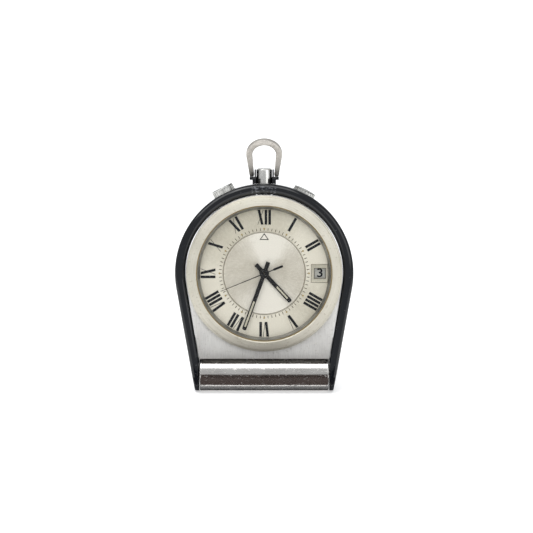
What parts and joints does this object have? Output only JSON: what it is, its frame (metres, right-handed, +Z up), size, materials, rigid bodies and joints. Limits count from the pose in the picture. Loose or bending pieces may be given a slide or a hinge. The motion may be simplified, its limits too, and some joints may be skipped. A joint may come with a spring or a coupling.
{
  "type": "mantel clock",
  "caption": "Small folding desk alarm clock: a black horseshoe case with a round dial, crowns, bow and push-piece leans on an arched steel lid that opens as its foot.",
  "frame": {"origin": "centre of the footprint on the table, with the clock standing open", "axes": "+Z up, the dial faces -Y and up, the open lid lies towards +Y, +X to the right as seen by someone reading the dial"},
  "size_m": [0.047, 0.0517, 0.0662],
  "materials": {
    "black_lacquer": "glossy black lacquer over metal",
    "brushed_steel": "straight-grained steel",
    "warm_steel": "circular-grained steel, slightly warm with age",
    "polished_steel": "polished steel",
    "silvered_dial": "silvered sunburst under clear lacquer, turned cream",
    "rhodium": "rhodium-plated, fine grained",
    "gilt_brass": "gilt brass",
    "blackened": "satin black",
    "spring_steel": "drawn spring wire",
    "crystal": "clear polished crystal",
    "gasket": "dark brown sealing ring",
    "date_white": "silver white with printed numerals"
  },
  "bodies": {
    "foot": {"lid_stand": "polished_steel", "barrel_plug_left": "brushed_steel", "barrel_plug_right": "brushed_steel", "hinge_spring": "spring_steel"},
    "head": {"case_band": "black_lacquer", "inner_case": "brushed_steel", "front_plate": "brushed_steel", "case_back": "brushed_steel", "hinge_screw_left": "polished_steel", "hinge_screw_right": "polished_steel", "pendant_yoke": "black_lacquer", "bow_pin_left": "polished_steel", "bow_pin_right": "polished_steel", "button_spring": "spring_steel", "alarm_crown_tube": "brushed_steel", "winding_crown_tube": "brushed_steel", "bezel": "warm_steel", "crystal": "crystal", "crystal_gasket": "gasket", "rehaut_ring": "brushed_steel", "dial": "silvered_dial", "date_window_frame": "brushed_steel", "main_plate": "rhodium", "casing_ring": "brushed_steel", "barrel_bridge": "rhodium", "train_bridge": "rhodium", "balance_cock": "rhodium", "bridge_screw_1": "rhodium", "bridge_screw_2": "rhodium", "bridge_screw_3": "rhodium", "bridge_screw_4": "rhodium", "bridge_screw_5": "rhodium"},
    "bow": {"bow": "warm_steel"},
    "button": {"release_button": "polished_steel", "lid_catch": "rhodium"},
    "alarm_setting": {"alarm_setting_lever": "rhodium"},
    "alarm_knob": {"alarm_crown": "polished_steel", "alarm_stem": "rhodium"},
    "winding_setting": {"winding_setting_lever": "rhodium"},
    "winding_knob": {"winding_crown": "polished_steel", "winding_stem": "rhodium"},
    "date": {"date_ring": "date_white"},
    "alarm_indicator": {"alarm_disc": "silvered_dial"},
    "seconds": {"fourth_wheel": "gilt_brass", "seconds_hand": "blackened"},
    "minutes": {"centre_wheel": "gilt_brass", "minute_hand": "blackened"},
    "hours": {"hour_wheel": "gilt_brass", "hour_hand": "blackened"},
    "motion": {"minute_wheel": "gilt_brass"},
    "third": {"third_wheel": "gilt_brass"},
    "escape": {"escape_wheel": "rhodium"},
    "pallet": {"pallet_fork": "rhodium"},
    "balance": {"balance_wheel": "gilt_brass", "hairspring": "spring_steel"},
    "going_barrel": {"time_barrel": "gilt_brass"},
    "alarm_power": {"alarm_barrel": "gilt_brass"},
    "hammer": {"alarm_hammer": "rhodium"}
  },
  "joints": [
    {"name": "case_fold", "type": "hinge", "parent": "foot", "child": "head", "pos_m": [0, -0.02127, 0.0046], "axis": [1, 0, 0], "range_deg": [-75, 0], "stiffness_Nm_per_rad": 0.02, "springref_deg": 57.3, "deforming": ["hinge_spring"]},
    {"name": "bow_swing", "type": "hinge", "parent": "head", "child": "bow", "pos_m": [0, -0.0076, 0.05565], "axis": [1, 0, 0], "range_deg": [-118, 52]},
    {"name": "button_press", "type": "slide", "parent": "head", "child": "button", "axis": [0, -0.2588, -0.9659], "range_m": [0, 0.0007], "stiffness_N_per_m": 60, "springref_m": -0.001, "deforming": ["button_spring"]},
    {"name": "alarm_crown_pull", "type": "slide", "parent": "head", "child": "alarm_setting", "axis": [-0.4462, 0.2316, 0.8644], "range_m": [0, 0.0009]},
    {"name": "alarm_crown_turn", "type": "hinge", "parent": "alarm_setting", "child": "alarm_knob", "pos_m": [-0.01071, -0.00938, 0.05129], "axis": [-0.4462, 0.2316, 0.8644], "continuous": true},
    {"name": "winding_crown_pull", "type": "slide", "parent": "head", "child": "winding_setting", "axis": [0.4462, 0.2316, 0.8644], "range_m": [0, 0.0009]},
    {"name": "winding_crown_turn", "type": "hinge", "parent": "winding_setting", "child": "winding_knob", "pos_m": [0.01071, -0.00938, 0.05129], "axis": [0.4462, 0.2316, 0.8644], "continuous": true},
    {"name": "date_turn", "type": "hinge", "parent": "head", "child": "date", "pos_m": [0, -0.01436, 0.03039], "axis": [0, 0.9659, -0.2588], "continuous": true},
    {"name": "alarm_disc_turn", "type": "hinge", "parent": "head", "child": "alarm_indicator", "pos_m": [0, -0.01436, 0.03039], "axis": [0, 0.9659, -0.2588], "continuous": true},
    {"name": "seconds_turn", "type": "hinge", "parent": "head", "child": "seconds", "pos_m": [0, -0.01436, 0.03039], "axis": [0, 0.9659, -0.2588], "continuous": true},
    {"name": "minutes_turn", "type": "hinge", "parent": "head", "child": "minutes", "pos_m": [0, -0.01436, 0.03039], "axis": [0, 0.9659, -0.2588], "continuous": true},
    {"name": "hours_turn", "type": "hinge", "parent": "head", "child": "hours", "pos_m": [0, -0.01436, 0.03039], "axis": [0, 0.9659, -0.2588], "continuous": true},
    {"name": "minute_wheel_turn", "type": "hinge", "parent": "head", "child": "motion", "pos_m": [0.00245, -0.0149, 0.0284], "axis": [0, 0.9659, -0.2588], "continuous": true},
    {"name": "third_wheel_turn", "type": "hinge", "parent": "head", "child": "third", "pos_m": [-0.00507, -0.01484, 0.02861], "axis": [0, 0.9659, -0.2588], "continuous": true},
    {"name": "escape_wheel_turn", "type": "hinge", "parent": "head", "child": "escape", "pos_m": [0, -0.01573, 0.02529], "axis": [0, 0.9659, -0.2588], "continuous": true},
    {"name": "going_barrel_turn", "type": "hinge", "parent": "head", "child": "going_barrel", "pos_m": [0.00516, -0.01343, 0.03388], "axis": [0, 0.9659, -0.2588], "continuous": true},
    {"name": "alarm_barrel_turn", "type": "hinge", "parent": "head", "child": "alarm_power", "pos_m": [-0.0065, -0.01229, 0.03812], "axis": [0, 0.9659, -0.2588], "continuous": true},
    {"name": "pallet_rock", "type": "hinge", "parent": "head", "child": "pallet", "pos_m": [0.0006, -0.01652, 0.02235], "axis": [0, 0.9659, -0.2588], "range_deg": [-5, 5]},
    {"name": "balance_swing", "type": "hinge", "parent": "head", "child": "balance", "pos_m": [0.00126, -0.01738, 0.01914], "axis": [0, 0.9659, -0.2588], "range_deg": [-150, 150], "stiffness_Nm_per_rad": 0.00000004},
    {"name": "hammer_strike", "type": "hinge", "parent": "head", "child": "hammer", "pos_m": [0.0096, -0.01581, 0.02498], "axis": [0, 0.9659, -0.2588], "range_deg": [0, 2], "stiffness_Nm_per_rad": 0.00002, "springref_deg": -5.73}
  ],
  "couplings": [
    {"joint": "third_wheel_turn", "follows": "minutes_turn", "ratio": -8},
    {"joint": "seconds_turn", "follows": "minutes_turn", "ratio": 60},
    {"joint": "escape_wheel_turn", "follows": "minutes_turn", "ratio": -600},
    {"joint": "going_barrel_turn", "follows": "minutes_turn", "ratio": -0.16667},
    {"joint": "minute_wheel_turn", "follows": "minutes_turn", "ratio": -0.33333},
    {"joint": "hours_turn", "follows": "minutes_turn", "ratio": 0.083333}
  ]
}
